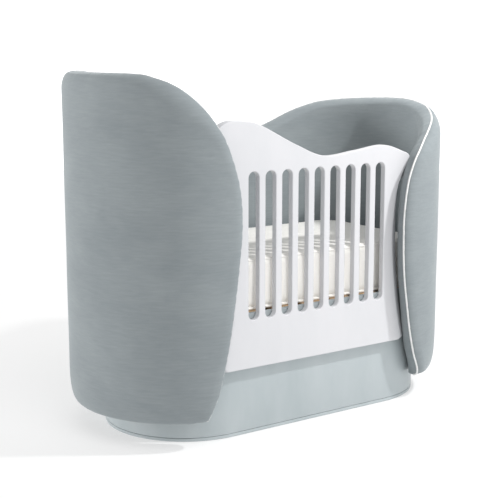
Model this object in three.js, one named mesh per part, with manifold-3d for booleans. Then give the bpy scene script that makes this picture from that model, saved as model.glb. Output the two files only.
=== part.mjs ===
// A cot bed for babies and toddlers: two tall velvet-covered walls wrap round an oval painted plinth,
// a lacquered slatted panel closes the front, and a loose mattress lies on slats inside.
//
// Units are millimetres. X runs along the bed from the head end (-X) to the foot end (+X),
// Y runs from the slatted front (-Y) to the upholstered back (+Y), and Z is up from the floor.
import * as THREE from 'three';
import { mergeVertices } from 'three/addons/utils/BufferGeometryUtils.js';
import Module from 'manifold-3d';

const wasm = await Module();
wasm.setup();

// ---------------------------------------------------------------- driving dimensions

// Overall sizes
const bedLength = 1646;
const bedWidth = 860;
const headHeight = 1363;
const footHeight = 1231;
const headEndExtra = 46;         // how much deeper the head wall's end is than the foot wall's

// Upholstered walls
const wallThickness = 90;
const wallLift = 100;            // floor to the underside of the walls
const wallBottomHeight = 130;    // height of the rounding along the bottom of the outer face
const wallBottomInset = 45;      // how far that rounding pulls the outer face in
const outerPadThickness = 12;
const innerPadThickness = 13;
const rimPadThickness = 24;
const boardThickness = 9;
const formerThickness = 18;
const postWidth = 50;
const edgeSlant = 42;            // how far the front edge face runs back from its outer to its inner corner
const pipingRadius = 3.5;
const pipingInset = 19;          // outer face to the middle of the piping
const dustCoverThickness = 1;

// Front opening, measured along the bed from the start of the rounded ends
const waistPastFlat = 18;
const tipPastFlat = 142;         // the walls' lowest, furthest-back point
const waistHeight = 750;
const headLowFlare = 38;         // from the waist out to the front edge, low down
const footLowFlare = 16;
const lowFlareShare = 0.53;      // where that is, between the walls' bottoms and the waist
const headCrownInset = 90;       // how far in from the ends the front edges reach their full height
const footCrownInset = 19;
const backCrownInset = 90;

// The front edges above the waist, as [share of the way out to the crown, share of the rise]
const headRise = [[0.1, 0.46], [0.35, 0.71], [0.63, 0.9], [1, 1]];
const footRise = [[0.089, 0.457], [0.288, 0.645], [0.517, 0.769], [0.812, 0.89], [1, 1]];
const backRise = [[0.3, 0.3], [0.55, 0.66], [0.78, 0.91], [1, 1]];

// Back wall
const backDipHeight = 1042;
const backDipX = 60;

// Plinth and mattress support
const plinthToWall = 13;
const plinthPastFlat = 10;       // the plinth's straight part is this much longer at each end than the walls'
const plinthSkin = 9;
const deckHeight = 471;
const stripHeight = 12;
const glideHeight = 2;
const stripGap = 1.5;
const slatCount = 9;
const slatWidth = 96;
const slatsPastFlat = 186;       // the middle of the outermost slats
const slatThickness = 12;
const ledgerWidth = 28;
const ledgerHeight = 45;
const ribThickness = 18;
const ribCount = 2;
const ribToBolt = 89.6;          // the ribs stand this far inside the panel's low bolts
const glideRadius = 20;

// Slatted front panel
const panelThickness = 26;
const panelToPlinth = 2;
const panelBottom = 265;
const panelBottomCorner = 22;
const panelWaistHeight = 690;
const panelSideBevel = 40;       // the back face is this much wider than the front face on each side
const panelTopBevelShare = 0.35; // how much of that bevel is left at the upper corners
const bevelStartShare = 0.9;     // the bevel fades in from this share of the waist's half width
const slotTop = 1003;
const slotBottom = 448;
const slotMargin = 69.6;         // the panel's waist to the middle of the outermost slot
const slotPitchMost = 78;
const barWidth = 28.6;

// The panel's sides, as [height, space to the wall's edge]: the lower ones are heights above the
// panel's bottom, the upper ones above the slots' tops, and the last is the corner's tip.
const sideGapsLow = [[22, 55], [190, 45]];
const waistGap = 48.5;
const sideGapsHeadHigh = [[-133, 38], [-18, 15], [115, 11]];
const sideGapsFootHigh = [[-133, 41], [-58, 29], [10, 12]];

// The panel's top wave, as [share of the waist's half width, height above the slots' tops]. A share over
// one is that much of the flare past the waist.
const waveFlare = 373.6;
const panelTipGap = 12;          // the wave stays this far inside the walls' edges
const panelWave = [
  [1.123, 39], [0.853, 68], [0.484, 53], [0.064, 41], [-0.294, 89], [-0.727, 167], [-1.029, 188], [-1.209, 163],
];

// Mattress
const mattressEndGap = 115;
const mattressSideGap = 40;
const mattressCornerGap = 11;
const mattressHeight = 210;
const mattressEdge = 14;

// Fixings
const boltRadius = 4;
const boltHeadRadius = 8;
const boltHeadHeight = 4;
const boltBite = 16;             // how deep a bolt goes into the panel's back
const lowBoltInset = 74;         // from the panel's waist
const highBoltInset = 34;
const lowBoltRise = 45;          // above the panel's bottom
const cleatThickness = 14;
const cleatPastFlat = 22;
const cleatLength = 98;
const cleatWidth = 40;
const cleatDrop = 68;            // the slots' tops to the cleats' lower edge

// Inner frame of the walls
const postPastFlat = 195;
const joinPostInset = 12;
const lowFormerLift = 50;
const highFormerDrop = 60;
const mountPastFlat = 100;
const mountHalfWidth = 160;
const mountHeight = 140;
const mountDrop = 31;            // the deck to the top of the mount blocks

// Clearances
const gap = 0.3;
const slip = 0.25;               // round a bolt in its hole

// ---------------------------------------------------------------- sizes that follow

const outerRadius = bedWidth / 2;
const innerRadius = outerRadius - wallThickness;
const halfFlat = (bedLength - headEndExtra) / 2 - outerRadius;
const waistHalfWidth = halfFlat + waistPastFlat;
const tipHalfWidth = halfFlat + tipPastFlat;
const plinthRadius = innerRadius - plinthToWall;
const plinthHalfFlat = halfFlat + plinthPastFlat;
const slatPitch = 2 * (halfFlat + slatsPastFlat) / (slatCount - 1);
const panelFront = -(plinthRadius + panelToPlinth + panelThickness);
const panelBack = panelFront + panelThickness;
const skinBottom = glideHeight + stripHeight + stripGap;
const mattressLength = 2 * (halfFlat + innerRadius - mattressEndGap);
const mattressWidth = 2 * (innerRadius - mattressSideGap);
const tall = Math.max(headHeight, footHeight) + 100;
const beyond = 60;               // how far cutting shapes reach past what they cut
const flatOf = (side) => halfFlat + (side < 0 ? headEndExtra : 0);
const endOf = (side) => flatOf(side) + outerRadius;
const arcSegments = 10;
const reach = 20;                // how far a wall's profile reaches past its faces
const frontEdgeSteps = 26;
const backEdgeSteps = 12;
const crownSteps = 12;
const profileOverlap = [11, 17];  // Y over which a wall's front and back profiles overlap

// ---------------------------------------------------------------- solids

function solidOf(geometry) {
  const bare = geometry.clone();
  bare.deleteAttribute('normal');
  bare.deleteAttribute('uv');
  const merged = mergeVertices(bare, 1e-4);
  return new wasm.Manifold(new wasm.Mesh({
    numProp: 3,
    vertProperties: merged.attributes.position.array,
    triVerts: new Uint32Array(merged.index.array),
  }));
}

function geometryOf(solid) {
  const mesh = solid.getMesh();
  const geometry = new THREE.BufferGeometry();
  geometry.setAttribute('position', new THREE.BufferAttribute(new Float32Array(mesh.vertProperties), 3));
  geometry.setIndex(new THREE.BufferAttribute(new Uint32Array(mesh.triVerts), 1));
  geometry.computeVertexNormals();
  return geometry;
}

// A plan shape (drawn in X and Y) standing between two heights.
function upright(shape, bottom, top) {
  const geometry = new THREE.ExtrudeGeometry(shape, {
    depth: top - bottom,
    bevelEnabled: false,
    curveSegments: arcSegments,
  });
  geometry.translate(0, 0, bottom);
  return solidOf(geometry);
}

// An elevation shape (drawn in X and Z) running from one Y to another.
function across(shape, front, back, curveSegments = arcSegments, steps = 1) {
  const depth = back - front;
  const geometry = new THREE.ExtrudeGeometry(shape, { depth, steps, bevelEnabled: false, curveSegments });
  geometry.rotateX(Math.PI / 2);
  geometry.translate(0, back, 0);
  return geometry;
}

function block(x0, x1, y0, y1, z0, z1) {
  const geometry = new THREE.BoxGeometry(x1 - x0, y1 - y0, z1 - z0);
  geometry.translate((x0 + x1) / 2, (y0 + y1) / 2, (z0 + z1) / 2);
  return solidOf(geometry);
}

// Two straight sides joined by two half circles.
function ovalShape(flat, radius) {
  const shape = new THREE.Shape();
  shape.moveTo(-flat, -radius);
  shape.lineTo(flat, -radius);
  shape.absarc(flat, 0, radius, -Math.PI / 2, Math.PI / 2, false);
  shape.lineTo(-flat, radius);
  shape.absarc(-flat, 0, radius, Math.PI / 2, 1.5 * Math.PI, false);
  return shape;
}

function oval(flat, radius, bottom, top) {
  return upright(ovalShape(flat, radius), bottom, top);
}

function ovalRing(flat, inner, outer, bottom, top) {
  return oval(flat, outer, bottom, top).subtract(oval(flat, inner, bottom - 1, top + 1));
}

// The outer face of the walls at a given radius: an oval drum whose bottom edge is rounded in.
function drum(side, radius) {
  const bevel = wallBottomHeight;
  const geometry = new THREE.ExtrudeGeometry(ovalShape(flatOf(side), radius), {
    depth: tall,
    bevelEnabled: true,
    bevelThickness: bevel,
    bevelSize: wallBottomInset,
    bevelOffset: -wallBottomInset,
    bevelSegments: 3,
    curveSegments: arcSegments,
  });
  geometry.translate(0, 0, wallLift + bevel);
  return solidOf(geometry);
}

// ---------------------------------------------------------------- rim lines of the walls

// Each wall is a J in plan: it starts at the front opening, wraps round its end of the bed and
// stops at the middle of the back. side is -1 for the head wall and +1 for the foot wall.
function frontEdge(side, height) {
  const rise = height - waistHeight;
  const spread = endOf(side) - (side < 0 ? headCrownInset : footCrownInset) - waistHalfWidth;
  const lowFlare = side < 0 ? headLowFlare : footLowFlare;
  const points = [
    new THREE.Vector2(tipHalfWidth + beyond / 2, wallLift - beyond),
    new THREE.Vector2(tipHalfWidth, wallLift),
    new THREE.Vector2(waistHalfWidth + lowFlare, wallLift + lowFlareShare * (waistHeight - wallLift)),
    new THREE.Vector2(waistHalfWidth, waistHeight),
  ];
  for (const [out, up] of side < 0 ? headRise : footRise) {
    points.push(new THREE.Vector2(waistHalfWidth + out * spread, waistHeight + up * rise));
  }
  points.push(new THREE.Vector2(endOf(side) + beyond, height));
  return new THREE.SplineCurve(points.map((point) => new THREE.Vector2(side * point.x, point.y)));
}

function backEdge(side, height) {
  const rise = height - backDipHeight;
  const run = endOf(side) - backCrownInset - side * backDipX;
  const start = new THREE.Vector2(0, backDipHeight + 2);
  const points = [start];
  for (const [along, up] of backRise) {
    points.push(new THREE.Vector2(side * (side * backDipX + along * run), backDipHeight + up * rise));
  }
  points.push(new THREE.Vector2(side * (endOf(side) + beyond), height));
  return new THREE.SplineCurve(points);
}

// Points along a rim line, never higher than its wall.
function pointsAlong(line, count, height) {
  return line.getPoints(count).map((point) => new THREE.Vector2(point.x, Math.min(point.y, height)));
}

// A line moved sideways by a fixed distance, towards the wall's material.
function inset(points, distance, side) {
  return points.map((point, i) => {
    const before = points[Math.max(i - 1, 0)];
    const after = points[Math.min(i + 1, points.length - 1)];
    const along = after.clone().sub(before).normalize();
    return new THREE.Vector2(point.x + side * along.y * distance, point.y - side * along.x * distance);
  });
}

// How much of the edge slant applies at a height: all of it at the waist, none at the crown.
function slantAt(z, height) {
  const start = waistHeight + 0.45 * (height - waistHeight);
  return edgeSlant * (1 - THREE.MathUtils.smoothstep(z, start, height));
}

function elevation(line, side) {
  const far = side * (endOf(side) + beyond);
  const shape = new THREE.Shape();
  shape.setFromPoints([...line, new THREE.Vector2(far, wallLift - beyond)]);
  return shape;
}

// Everything on the wall's side of its rim line, pulled in from the rim by a distance. It stops at
// the back join, or a little past it where it is used to hollow out a piece that stops there.
function wallProfile(side, height, distance, past = 0) {
  const front = inset(pointsAlong(frontEdge(side, height), frontEdgeSteps, height), distance, side);
  const frontGeometry = across(elevation(front, side), -outerRadius - reach, profileOverlap[1], 1, 2);
  const position = frontGeometry.attributes.position;
  for (let i = 0; i < position.count; i += 1) {
    const depth = Math.min((position.getY(i) + outerRadius) / wallThickness, 2.3);
    position.setX(i, position.getX(i) + side * depth * slantAt(position.getZ(i), height));
  }
  const back = inset(pointsAlong(backEdge(side, height), backEdgeSteps, height), distance, side);
  const join = side * (gap / 2 - past);
  const backLine = [new THREE.Vector2(join, wallLift - beyond), new THREE.Vector2(join, back[0].y)];
  const backShape = elevation([...backLine, ...back.slice(1)], side);
  return solidOf(frontGeometry).add(solidOf(across(backShape, profileOverlap[0], outerRadius + reach)));
}

// The piping's line: up the front edge, over the crown, round the end and down to the middle of the back.
function pipingLine(side, height) {
  const radius = outerRadius - pipingInset;
  const flat = flatOf(side);
  const frontCrown = endOf(side) - (side < 0 ? headCrownInset : footCrownInset);
  const backCrown = endOf(side) - backCrownInset;
  const frontY = (x) => -Math.sqrt(Math.max(radius ** 2 - Math.max(Math.abs(x) - flat, 0) ** 2, 0));
  const points = [];
  for (const point of pointsAlong(frontEdge(side, height), 2 * frontEdgeSteps, height)) {
    if (point.y > wallLift + pipingRadius && Math.abs(point.x) < frontCrown - pipingInset) {
      let x = point.x;
      for (let step = 0; step < 3; step += 1) {
        x = point.x + side * slantAt(point.y, height) * (frontY(x) + outerRadius) / wallThickness;
      }
      points.push(new THREE.Vector3(x, frontY(x), point.y));
    }
  }
  const start = Math.asin(Math.min((frontCrown - flat) / radius, 1));
  const stop = Math.PI - Math.asin((backCrown - flat) / radius);
  for (let step = 0; step <= crownSteps; step += 1) {
    const turn = start + (stop - start) * step / crownSteps;
    points.push(new THREE.Vector3(side * (flat + radius * Math.sin(turn)), -radius * Math.cos(turn), height));
  }
  for (const point of pointsAlong(backEdge(side, height), 2 * backEdgeSteps, height).reverse()) {
    if (Math.abs(point.x) < backCrown && Math.abs(point.x) > 1) {
      points.push(new THREE.Vector3(point.x, -frontY(point.x), point.y));
    }
  }
  points.push(new THREE.Vector3(side * gap / 2, radius, backDipHeight + 2));
  return new THREE.CatmullRomCurve3(points);
}

function cordOf(line, radius) {
  const section = new THREE.Shape();
  section.absarc(0, 0, radius, 0, 2 * Math.PI, false);
  const geometry = new THREE.ExtrudeGeometry(section, {
    extrudePath: line,
    steps: 64,
    bevelEnabled: false,
    curveSegments: 3,
  });
  return solidOf(geometry);
}

// ---------------------------------------------------------------- finishes

const velvet = { color: 0xa5adb0, roughness: 0.85, metalness: 0 };
const pipingCloth = { color: 0xf2f2f0, roughness: 0.6, metalness: 0 };
const lacquer = { color: 0xf0f0f2, roughness: 0.3, metalness: 0 };
const paint = { color: 0xbfc9cb, roughness: 0.45, metalness: 0 };
const plywood = { color: 0xc9a878, roughness: 0.7, metalness: 0 };
const beech = { color: 0xd8b98a, roughness: 0.6, metalness: 0 };
const linen = { color: 0xe4e0da, roughness: 0.9, metalness: 0 };
const lining = { color: 0x2c2e30, roughness: 0.95, metalness: 0 };
const steel = { color: 0xb4b6b8, roughness: 0.35, metalness: 1 };
const plastic = { color: 0x24262a, roughness: 0.6, metalness: 0 };

const bed = new THREE.Group();

function add(name, solid, finish) {
  const mesh = new THREE.Mesh(geometryOf(solid), new THREE.MeshStandardMaterial(finish));
  mesh.name = name;
  bed.add(mesh);
}

// ---------------------------------------------------------------- upholstered walls

// The space between a wall's two boards, from a height up.
const boardOuter = outerRadius - outerPadThickness - gap;
const coreOuter = boardOuter - boardThickness - gap;
const padOuter = innerRadius + innerPadThickness;
const coreInner = padOuter + gap + boardThickness + gap;
const coreMiddle = (coreInner + coreOuter) / 2;
const formerHeights = [wallLift + lowFormerLift, (wallLift + headHeight) / 2 - highFormerDrop];

// Upright posts inside a wall: by the front opening, at the end, on the back and at the back join.
function postBoxes(side, clearance) {
  const half = postWidth / 2 + clearance;
  const reach = outerRadius + 20;
  const places = [
    ['front_post', side * (halfFlat + postPastFlat), -reach, 0],
    ['back_post', side * (halfFlat + postPastFlat), 0, reach],
    ['join_post', side * (joinPostInset + postWidth / 2), 0, reach],
  ];
  const boxes = places.map(([name, x, y0, y1]) => [name, block(x - half, x + half, y0, y1, 0, tall)]);
  const ends = [side * halfFlat, side * endOf(side)].sort((a, b) => a - b);
  boxes.push(['end_post', block(...ends, -half, half, 0, tall)]);
  return boxes;
}

// The block that carries a wall's end on the plinth, let into the back of the inner pad.
function mountBlock(side, clearance) {
  const ends = [side * (halfFlat + mountPastFlat), side * bedLength].sort((a, b) => a - b);
  const top = deckHeight - mountDrop;
  const half = mountHalfWidth + clearance;
  return oval(halfFlat, padOuter + clearance, top - mountHeight - clearance, top + clearance)
    .subtract(oval(plinthHalfFlat, plinthRadius + gap - clearance, 0, tall))
    .intersect(block(...ends, -half, half, 0, tall));
}

function addCovers(prefix, side, height, cored) {
  const line = pipingLine(side, height);
  const rim = wallProfile(side, height, 0)
    .subtract(wallProfile(side, height, rimPadThickness, 10))
    .intersect(drum(side, outerRadius))
    .subtract(oval(halfFlat, innerRadius, 0, tall))
    .subtract(cordOf(line, pipingRadius + gap));
  add(`${prefix}_rim_pad`, rim, velvet);
  add(`${prefix}_piping`, cordOf(line, pipingRadius).trimByPlane([side, 0, 0], gap / 2), pipingCloth);

  const outer = drum(side, outerRadius).subtract(drum(side, outerRadius - outerPadThickness)).intersect(cored);
  add(`${prefix}_outer_pad`, outer, velvet);
  const inner = ovalRing(halfFlat, innerRadius, padOuter, wallLift, tall).intersect(cored);
  add(`${prefix}_inner_pad`, inner.subtract(mountBlock(side, gap)), velvet);

  const coverOuter = outerRadius - outerPadThickness - wallBottomInset - gap;
  const cover = oval(flatOf(side), coverOuter, wallLift, wallLift + dustCoverThickness)
    .subtract(oval(halfFlat, padOuter + gap, 0, tall));
  add(`${prefix}_dust_cover`, cover.intersect(cored), lining);
}

function addFrame(prefix, side, cored) {
  const low = wallLift + dustCoverThickness + gap;
  const outerBoard = drum(side, boardOuter).subtract(drum(side, boardOuter - boardThickness));
  add(`${prefix}_outer_board`, outerBoard.intersect(cored).trimByPlane([0, 0, 1], low), plywood);
  const innerBoard = ovalRing(halfFlat, padOuter + gap, padOuter + gap + boardThickness, low, tall);
  add(`${prefix}_inner_board`, innerBoard.intersect(cored), plywood);
  add(`${prefix}_mount_block`, mountBlock(side, 0), beech);

  // Posts and formers are halved into each other: a post keeps its inner half, a former its outer half.
  const core = drum(side, coreOuter)
    .subtract(oval(halfFlat, coreInner, 0, 10 * tall))
    .trimByPlane([0, 0, 1], formerHeights[0])
    .intersect(cored);
  const layer = (z, clearance) => block(-bedLength, bedLength, -bedWidth, bedWidth, z - clearance,
    z + formerThickness + clearance);
  const outerHalf = oval(flatOf(side), outerRadius, 0, tall)
    .subtract(oval(halfFlat, coreMiddle - gap / 2, -1, tall + 1));
  const innerHalf = oval(halfFlat, coreMiddle + gap / 2, 0, tall);
  for (const [name, box] of postBoxes(side, 0)) {
    let post = core.intersect(box);
    for (const z of formerHeights) {
      post = post.subtract(outerHalf.intersect(layer(z, gap)));
    }
    add(`${prefix}_${name}`, post, beech);
  }
  formerHeights.forEach((z, i) => {
    let former = core.intersect(layer(z, 0));
    for (const [, box] of postBoxes(side, gap)) {
      former = former.subtract(box.intersect(innerHalf));
    }
    add(`${prefix}_former_${i + 1}`, former, plywood);
  });
}

function addWall(prefix, side, height) {
  const cored = wallProfile(side, height, rimPadThickness + gap);
  addCovers(prefix, side, height, cored);
  addFrame(prefix, side, cored);
}

// ---------------------------------------------------------------- plinth and slats

function addPlinth() {
  const inside = plinthRadius - plinthSkin;
  const ledgerTop = deckHeight - slatThickness - gap;
  const ledgerBottom = ledgerTop - ledgerHeight;
  const boardTop = skinBottom + 18;

  const boltHoles = panelBolts().map((place) => boltHole(place, boltRadius + slip));
  let skin = ovalRing(plinthHalfFlat, inside, plinthRadius, skinBottom, deckHeight);
  let frontLedger = block(-plinthHalfFlat, plinthHalfFlat, -inside + gap, -inside + gap + ledgerWidth,
    ledgerBottom, ledgerTop);
  for (const hole of boltHoles) {
    skin = skin.subtract(hole);
    frontLedger = frontLedger.subtract(hole);
  }
  add('plinth_skin', skin, paint);
  add('plinth_strip', ovalRing(plinthHalfFlat, inside, plinthRadius, glideHeight, glideHeight + stripHeight), paint);
  add('plinth_floor', oval(plinthHalfFlat, inside - gap, skinBottom, boardTop), plywood);
  add('front_ledger', frontLedger, beech);
  add('back_ledger', block(-plinthHalfFlat, plinthHalfFlat, inside - gap - ledgerWidth, inside - gap,
    ledgerBottom, ledgerTop), beech);
  for (const [name, side] of [['head', -1], ['foot', 1]]) {
    const ends = [side * (plinthHalfFlat + gap), side * bedLength].sort((a, b) => a - b);
    const ledger = ovalRing(plinthHalfFlat, inside - gap - ledgerWidth, inside - gap, ledgerBottom, ledgerTop);
    add(`${name}_ledger`, ledger.intersect(block(...ends, -bedWidth, bedWidth, 0, tall)), beech);
  }

  for (let i = 0; i < ribCount; i += 1) {
    const x = 2 * (panelWaistHalf - lowBoltInset - ribToBolt) * (i / (ribCount - 1) - 1 / 2);
    const half = ribThickness / 2;
    add(`plinth_rib_${i + 1}`, block(x - half, x + half, -inside + 1, inside - 1, boardTop + gap,
      ledgerBottom - gap), plywood);
  }
  const bed0 = oval(plinthHalfFlat, inside - 1, deckHeight - slatThickness, deckHeight);
  for (let i = 0; i < slatCount; i += 1) {
    const x = slatPitch * (i - (slatCount - 1) / 2);
    const strip = block(x - slatWidth / 2, x + slatWidth / 2, -bedWidth, bedWidth, 0, tall);
    add(`mattress_slat_${i + 1}`, bed0.intersect(strip), beech);
  }
  // The last glide stands in the very middle, and its lower face is the frame's origin.
  const glideReach = plinthRadius - 2 * glideRadius;
  const corners = [[-1, -1], [-1, 1], [1, -1], [1, 1]].map(([i, j]) => [i * plinthHalfFlat, j * glideReach]);
  [...corners, [0, 0]].forEach(([x, y], i) => {
    const glide = new THREE.CylinderGeometry(glideRadius, glideRadius, skinBottom - gap, 20);
    glide.rotateX(Math.PI / 2);
    glide.translate(x, y, (skinBottom - gap) / 2);
    add(`glide_${i + 1}`, solidOf(glide), plastic);
  });
}

// ---------------------------------------------------------------- slatted front panel

// A point on the panel's side, a given space in from the wall's edge at that height.
function sidePoint(side, z, space) {
  const height = side < 0 ? headHeight : footHeight;
  const line = pointsAlong(frontEdge(side, height), 80, height);
  const next = line.findIndex((point) => point.y >= z);
  const along = (z - line[next - 1].y) / (line[next].y - line[next - 1].y);
  const rim = line[next - 1].clone().lerp(line[next], along);
  const depth = (panelFront + outerRadius) / wallThickness;
  return new THREE.Vector2(rim.x + side * (depth * slantAt(z, height) - space), z);
}

const panelWaistHalf = sidePoint(1, panelWaistHeight, waistGap).x;
const slotSpan = 2 * (panelWaistHalf - slotMargin);
const slotCount = Math.ceil(slotSpan / slotPitchMost) + 1;
const slotPitch = slotSpan / (slotCount - 1);
const slotWidth = slotPitch - barWidth;

// Where the bolts that hold the panel to the plinth pass, as [x, z].
function panelBolts() {
  const high = deckHeight - slatThickness - gap - ledgerHeight / 2;
  const low = panelBottom + lowBoltRise;
  const inner = panelWaistHalf - lowBoltInset;
  const outer = panelWaistHalf - highBoltInset;
  return [[-inner, low], [inner, low], [-outer, high], [outer, high]];
}

function boltHole([x, z], radius) {
  const length = plinthSkin + gap + ledgerWidth + panelToPlinth + boltBite + 2;
  const hole = new THREE.CylinderGeometry(radius, radius, length, 16);
  hole.translate(x, panelBack - boltBite + length / 2, z);
  return solidOf(hole);
}

// The panel's outline: concave sides that follow the walls' edges, flared corners, and a wave along the top.
function panelOutline() {
  const sidePoints = (side, high) => [
    ...sideGapsLow.map(([up, space]) => sidePoint(side, panelBottom + up, space)),
    sidePoint(side, panelWaistHeight, waistGap),
    ...high.map(([up, space]) => sidePoint(side, slotTop + up, space)),
  ];
  const head = sidePoints(-1, sideGapsHeadHigh);
  const foot = sidePoints(1, sideGapsFootHigh);
  const shape = new THREE.Shape();
  shape.moveTo(head[0].x + panelBottomCorner, panelBottom);
  shape.lineTo(foot[0].x - panelBottomCorner, panelBottom);
  shape.quadraticCurveTo(foot[0].x, panelBottom, foot[0].x, foot[0].y);
  shape.splineThru(foot.slice(1));
  const wave = panelWave.map(([share, up]) => {
    const flare = Math.max(Math.abs(share) - 1, 0) * waveFlare;
    const x = Math.min(Math.abs(share), 1) * panelWaistHalf + flare;
    const edge = Math.abs(sidePoint(Math.sign(share), slotTop + up, panelTipGap).x);
    return new THREE.Vector2(Math.sign(share) * Math.min(x, edge), slotTop + up);
  });
  shape.splineThru([...wave, head[head.length - 1]]);
  shape.splineThru(head.slice(0, -1).reverse());
  shape.quadraticCurveTo(head[0].x, panelBottom, head[0].x + panelBottomCorner, panelBottom);
  return shape;
}

function slotAt(x) {
  const radius = slotWidth / 2;
  const shape = new THREE.Shape();
  shape.absarc(x, slotTop - radius, radius, 0, Math.PI, false);
  shape.absarc(x, slotBottom + radius, radius, Math.PI, 2 * Math.PI, false);
  return solidOf(across(shape, panelFront - 5, panelBack + 5, 6));
}

function addPanel() {
  const geometry = across(panelOutline(), panelFront, panelBack, 7);
  const position = geometry.attributes.position;
  for (let i = 0; i < position.count; i += 1) {
    const x = position.getX(i);
    const back = (position.getY(i) - panelFront) / panelThickness;
    const sideways = THREE.MathUtils.smoothstep(Math.abs(x), bevelStartShare * panelWaistHalf, panelWaistHalf);
    const upper = THREE.MathUtils.smoothstep(position.getZ(i), panelWaistHeight, slotTop);
    const fade = 1 - (1 - panelTopBevelShare) * upper;
    position.setX(i, x + Math.sign(x) * back * sideways * fade * panelSideBevel);
  }
  let panel = solidOf(geometry);
  for (let i = 0; i < slotCount; i += 1) {
    panel = panel.subtract(slotAt(slotPitch * (i - (slotCount - 1) / 2)));
  }
  const bolts = panelBolts();
  for (const place of bolts) {
    panel = panel.subtract(boltHole(place, boltRadius + slip));
  }
  add('front_panel', panel, lacquer);

  bolts.forEach(([x, z], i) => {
    const inLedger = z > deckHeight - slatThickness - ledgerHeight;
    const seat = -(plinthRadius - plinthSkin) + gap + (inLedger ? ledgerWidth + gap : 0);
    const start = panelBack - boltBite + 1;
    const shank = new THREE.CylinderGeometry(boltRadius, boltRadius, seat + 1 - start, 16);
    shank.translate(x, (seat + 1 + start) / 2, z);
    const head = new THREE.CylinderGeometry(boltHeadRadius, boltHeadRadius, boltHeadHeight, 20);
    head.translate(x, seat + boltHeadHeight / 2, z);
    add(`panel_bolt_${i + 1}`, solidOf(shank).add(solidOf(head)), steel);
  });

  // A wooden cleat behind each upper corner follows the wall's inner face out from the panel's back.
  for (const [name, side] of [['head', -1], ['foot', 1]]) {
    const start = halfFlat + cleatPastFlat;
    const ends = [side * start, side * (start + cleatLength)].sort((a, b) => a - b);
    const bottom = slotTop - cleatDrop;
    const strip = block(...ends, panelBack + gap, 0, bottom, bottom + cleatWidth);
    const ring = ovalRing(halfFlat, innerRadius - cleatThickness, innerRadius - gap, 0, tall);
    add(`${name}_cleat`, strip.intersect(ring), lacquer);
  }
}

// ---------------------------------------------------------------- mattress

// The corner radius that keeps a mattress corner clear of the walls' rounded inside.
function mattressCorner() {
  const reach = innerRadius - mattressCornerGap;
  const ahead = mattressLength / 2 - halfFlat;
  const aside = mattressWidth / 2;
  const spare = ahead + aside - reach;
  return spare - Math.sqrt(spare ** 2 - ahead ** 2 - aside ** 2 + reach ** 2);
}

function addMattress() {
  const half = mattressLength / 2 - mattressEdge;
  const wide = mattressWidth / 2 - mattressEdge;
  const corner = mattressCorner() - mattressEdge;
  const shape = new THREE.Shape();
  shape.absarc(half - corner, -wide + corner, corner, -Math.PI / 2, 0, false);
  shape.absarc(half - corner, wide - corner, corner, 0, Math.PI / 2, false);
  shape.absarc(-half + corner, wide - corner, corner, Math.PI / 2, Math.PI, false);
  shape.absarc(-half + corner, -wide + corner, corner, Math.PI, 1.5 * Math.PI, false);
  const geometry = new THREE.ExtrudeGeometry(shape, {
    depth: mattressHeight - 2 * mattressEdge,
    bevelEnabled: true,
    bevelThickness: mattressEdge,
    bevelSize: mattressEdge,
    bevelSegments: 3,
    curveSegments: 4,
  });
  geometry.translate(0, 0, deckHeight + gap + mattressEdge);
  add('mattress', solidOf(geometry), linen);
}

addWall('head', -1, headHeight);
addWall('foot', 1, footHeight);
addPlinth();
addPanel();
addMattress();

export default bed;
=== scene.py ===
# %% [markdown]
# # A toddler bed with velvet walls
# This lesson dresses a measured wooden bed in its real finishes. The hard frame is already made:
# boards, posts, slats, bolts and a plinth. What is left is what an upholsterer and a painter do.

import math

import bmesh
import bpy
import numpy as np
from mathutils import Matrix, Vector
from mathutils.bvhtree import BVHTree


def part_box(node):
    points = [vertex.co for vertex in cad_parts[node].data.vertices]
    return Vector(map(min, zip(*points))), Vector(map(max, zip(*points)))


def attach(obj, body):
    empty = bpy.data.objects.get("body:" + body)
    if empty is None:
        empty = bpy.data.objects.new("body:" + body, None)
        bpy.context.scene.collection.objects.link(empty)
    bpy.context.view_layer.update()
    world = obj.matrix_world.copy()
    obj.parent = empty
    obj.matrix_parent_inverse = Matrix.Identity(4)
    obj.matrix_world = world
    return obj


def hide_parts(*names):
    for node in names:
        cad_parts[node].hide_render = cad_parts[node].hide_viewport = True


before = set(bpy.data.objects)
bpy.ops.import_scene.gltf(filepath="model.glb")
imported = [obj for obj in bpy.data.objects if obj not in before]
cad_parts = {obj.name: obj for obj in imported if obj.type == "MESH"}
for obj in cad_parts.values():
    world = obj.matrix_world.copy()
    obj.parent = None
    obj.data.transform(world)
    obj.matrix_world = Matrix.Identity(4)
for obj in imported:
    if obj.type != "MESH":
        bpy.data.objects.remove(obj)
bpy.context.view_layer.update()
MM = 0.001
print("nodes in the frame:", len(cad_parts))

# %% [markdown]
# ## Sizes
# The walls follow an oval: straight front and back, half circles at the ends. A wall is 90 mm thick.
# Its seam, with the white piping, runs a little in from the outer face. All lengths are metres here.

# %% sizes shared by the soft pieces
HALF_FLAT = 370 * MM
HEAD_FLAT = 416 * MM
OUTER = 430 * MM
INNER = 340 * MM
SEAM = 411 * MM
WALL_BOTTOM = 100 * MM
END_TURN = math.pi * SEAM
EDGE_STEP = 11 * MM
print("half length to the seam:", round(HALF_FLAT + SEAM, 3), round(HEAD_FLAT + SEAM, 3))

# %% [markdown]
# ## Lines
# An upholsterer marks the edge of the cover on the frame through a few points and draws a fair curve
# through them. A Catmull-Rom curve does the same, and walking along it in equal steps gives an even mesh.

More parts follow.
